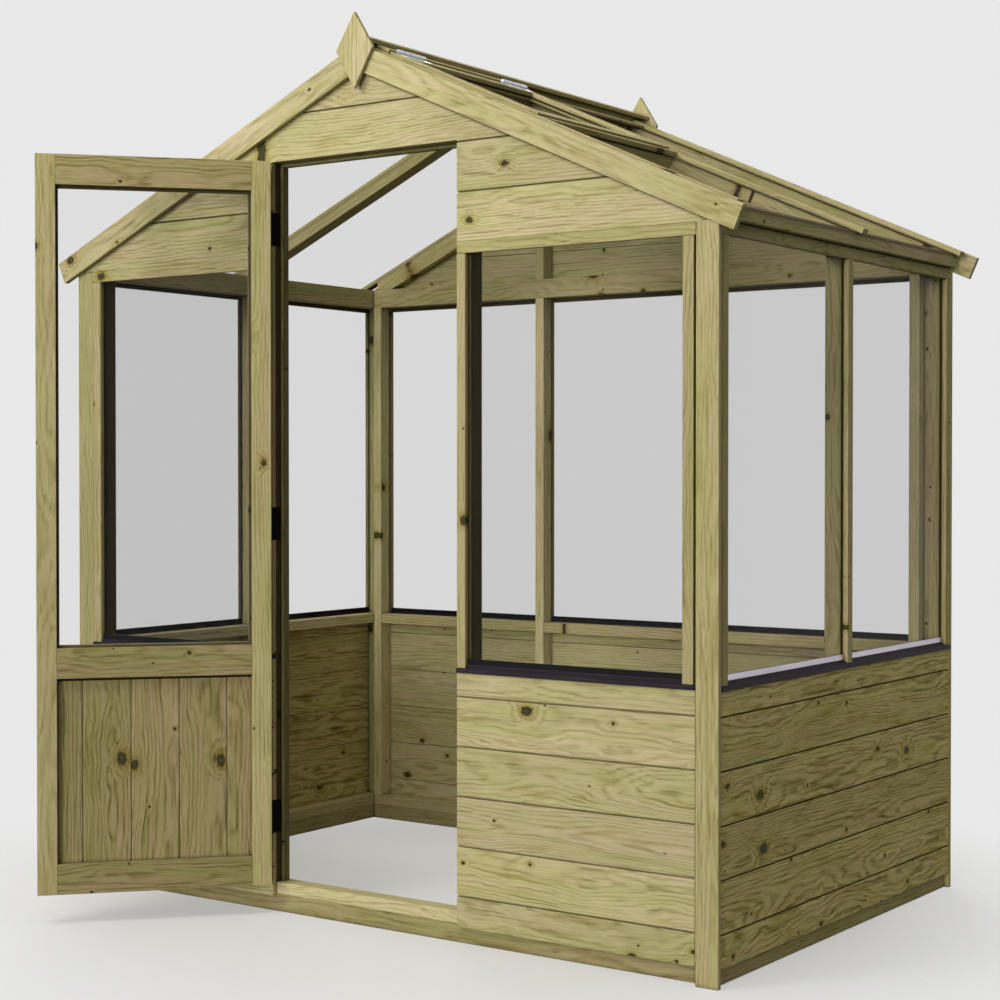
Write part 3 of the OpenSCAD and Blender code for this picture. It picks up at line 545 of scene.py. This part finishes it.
def draw_timber(node, finish, ease):
    """A node's boards with eased edges, each with its own run of grain and shade."""
    cad = frame["nodes"][node]
    chance = random.Random(node)
    boards = welded(cad)
    whole = bmesh.new()
    grain = whole.verts.layers.float_vector.new("grain")
    board = whole.verts.layers.float_vector.new("board")
    for group in separate_boards(boards):
        along, across, through = board_axes(group, node in UPRIGHT)
        middle = sum((v.co for v in group), Vector()) / len(group)
        start = Vector((chance.uniform(5, 60), chance.uniform(-0.05, 0.05), chance.uniform(0.02, 0.09)))
        if chance.random() < 0.5:
            through.negate()
        nature = Vector((chance.random(), chance.random(), chance.random()))
        piece = eased(group, ease)
        twin = {}
        for v in piece.verts:
            twin[v] = whole.verts.new(v.co)
            away = v.co - middle
            twin[v][grain] = start + Vector((away.dot(along), away.dot(across), away.dot(through)))
            twin[v][board] = nature
        for face in piece.faces:
            whole.faces.new([twin[v] for v in face.verts])
        piece.free()
    shape = bpy.data.meshes.new(node + "_timber")
    whole.to_mesh(shape)
    whole.free()
    boards.free()
    shape.materials.append(finish)
    drawn = bpy.data.objects.new(node + "_timber", shape)
    bpy.context.scene.collection.objects.link(drawn)
    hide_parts(node)
    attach(drawn, cad["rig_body"])
    return drawn


for part in frame["record"]["subparts"]:
    node, slot = part["node"], part["material_slot"]
    finish = finish_of_node.get(node, finish_of_slot[slot])
    if slot == "timber":
        draw_timber(node, finish, TIMBER_EASE)
    elif slot == "sill":
        draw_timber(node, finish, SILL_EASE)
    else:
        shown = frame["nodes"][node].data.materials
        shown.clear()
        shown.append(finish)


# Studio

WHITE = (1.0, 1.0, 1.0)
FLOOR_MIDDLE = (0.0, 0.4, 0.0)
FLOOR_HALF_WIDTH = 8.0
# Metres from the floor's middle between which the floor fades into the backdrop
FADE_START, FADE_END = 0.7, 1.7
HOUSE_MIDDLE = Vector((0.0, 0.5, 1.0))

# The camera, from the straight edges of the house in the photograph
LENS = 70.48
SENSOR_WIDTH = 36.0
CAMERA_PLACE = (2.7623, -3.4012, 1.0176)
CAMERA_DIP = 0.877
CAMERA_TURN = 35.31


def seen_share(paint):
    """1 for the rays that show a thing itself, in glass and gloss too, and 0 for stray light."""
    camera, glossy, through = (
        paint.node("ShaderNodeLightPath", {}, out=name)
        for name in ("Is Camera Ray", "Is Glossy Ray", "Is Transmission Ray")
    )
    return camera.larger(glossy).larger(through)


def add_floor():
    """A pale floor that keeps the house's shadow and fades out round it."""
    paint = Paint("studio_floor")
    far = paint.vector("LENGTH", paint.place(), out="Value")
    pale = paint.node("ShaderNodeBsdfDiffuse", {}, Color=(0.80, 0.80, 0.81, 1.0))
    dim = paint.node("ShaderNodeBsdfDiffuse", {}, Color=(0.34, 0.32, 0.26, 1.0))
    clear = paint.node("ShaderNodeBsdfTransparent", {})
    lit = paint.node("ShaderNodeMixShader", {}, seen_share(paint), dim, pale)
    paint.end(paint.node("ShaderNodeMixShader", {}, far.step(FADE_START, FADE_END, 0.4, 1.0), lit, clear))
    mesh = bpy.data.meshes.new("floor")
    grid = bmesh.new()
    bmesh.ops.create_grid(grid, x_segments=8, y_segments=8, size=FLOOR_HALF_WIDTH)
    grid.to_mesh(mesh)
    grid.free()
    mesh.materials.append(paint.material)
    floor = bpy.data.objects.new("studio_floor", mesh)
    floor.location = FLOOR_MIDDLE
    bpy.context.scene.collection.objects.link(floor)


def add_world():
    """A pale backdrop for what is seen, and a soft ceiling light that fades towards the horizon."""
    paint = Paint("studio", world=True)
    bpy.context.scene.world = paint.material
    direction = paint.node("ShaderNodeTexCoord", {}, out="Generated")
    above = paint.axis("Z", direction).larger(0.0)
    ceiling = above * above * 0.9 + 0.04
    around = paint.node("ShaderNodeBackground", {}, Color=(1.0, 0.97, 0.84, 1.0), Strength=ceiling)
    backdrop = paint.node("ShaderNodeBackground", {}, Color=(0.812, 0.812, 0.812, 1.0))
    paint.end(paint.node("ShaderNodeMixShader", {}, seen_share(paint), around, backdrop))


def add_lamp(name, kind, towards, far, energy, spread, colour):
    """A lamp that shines on the house from a direction: a soft panel, or a sun with a spread in degrees."""
    lamp = bpy.data.lights.new(name, kind)
    lamp.energy = energy
    lamp.color = colour
    if kind == "AREA":
        lamp.shape = "DISK"
        lamp.size = spread
    else:
        lamp.angle = math.radians(spread)
    stand = bpy.data.objects.new(name, lamp)
    towards = Vector(towards).normalized()
    stand.location = HOUSE_MIDDLE + towards * far
    stand.rotation_euler = towards.to_track_quat("Z", "Y").to_euler()
    bpy.context.scene.collection.objects.link(stand)


def add_camera():
    lens = bpy.data.cameras.new("camera")
    lens.lens = LENS
    lens.sensor_width = SENSOR_WIDTH
    camera = bpy.data.objects.new("camera", lens)
    camera.location = CAMERA_PLACE
    camera.rotation_euler = (math.radians(90 - CAMERA_DIP), 0.0, math.radians(CAMERA_TURN))
    bpy.context.scene.collection.objects.link(camera)
    bpy.context.scene.camera = camera


add_floor()
add_world()
add_lamp("front", "SUN", (0.12, -0.98, 0.10), 8.0, energy=1.6, spread=22.0, colour=(1.0, 0.99, 0.99))
add_lamp("right_front", "SUN", (0.50, -0.85, 0.12), 8.0, energy=0.5, spread=25.0, colour=(1.0, 0.97, 0.88))
add_lamp("key", "AREA", (-0.20, -0.80, 0.60), 3.4, energy=44.0, spread=1.2, colour=WHITE)
add_lamp("back_left", "SUN", (-0.62, 0.70, 0.35), 8.0, energy=1.2, spread=28.0, colour=(1.0, 0.99, 0.96))
add_camera()
bpy.context.scene.view_settings.view_transform = "Standard"

bpy.context.view_layer.update()
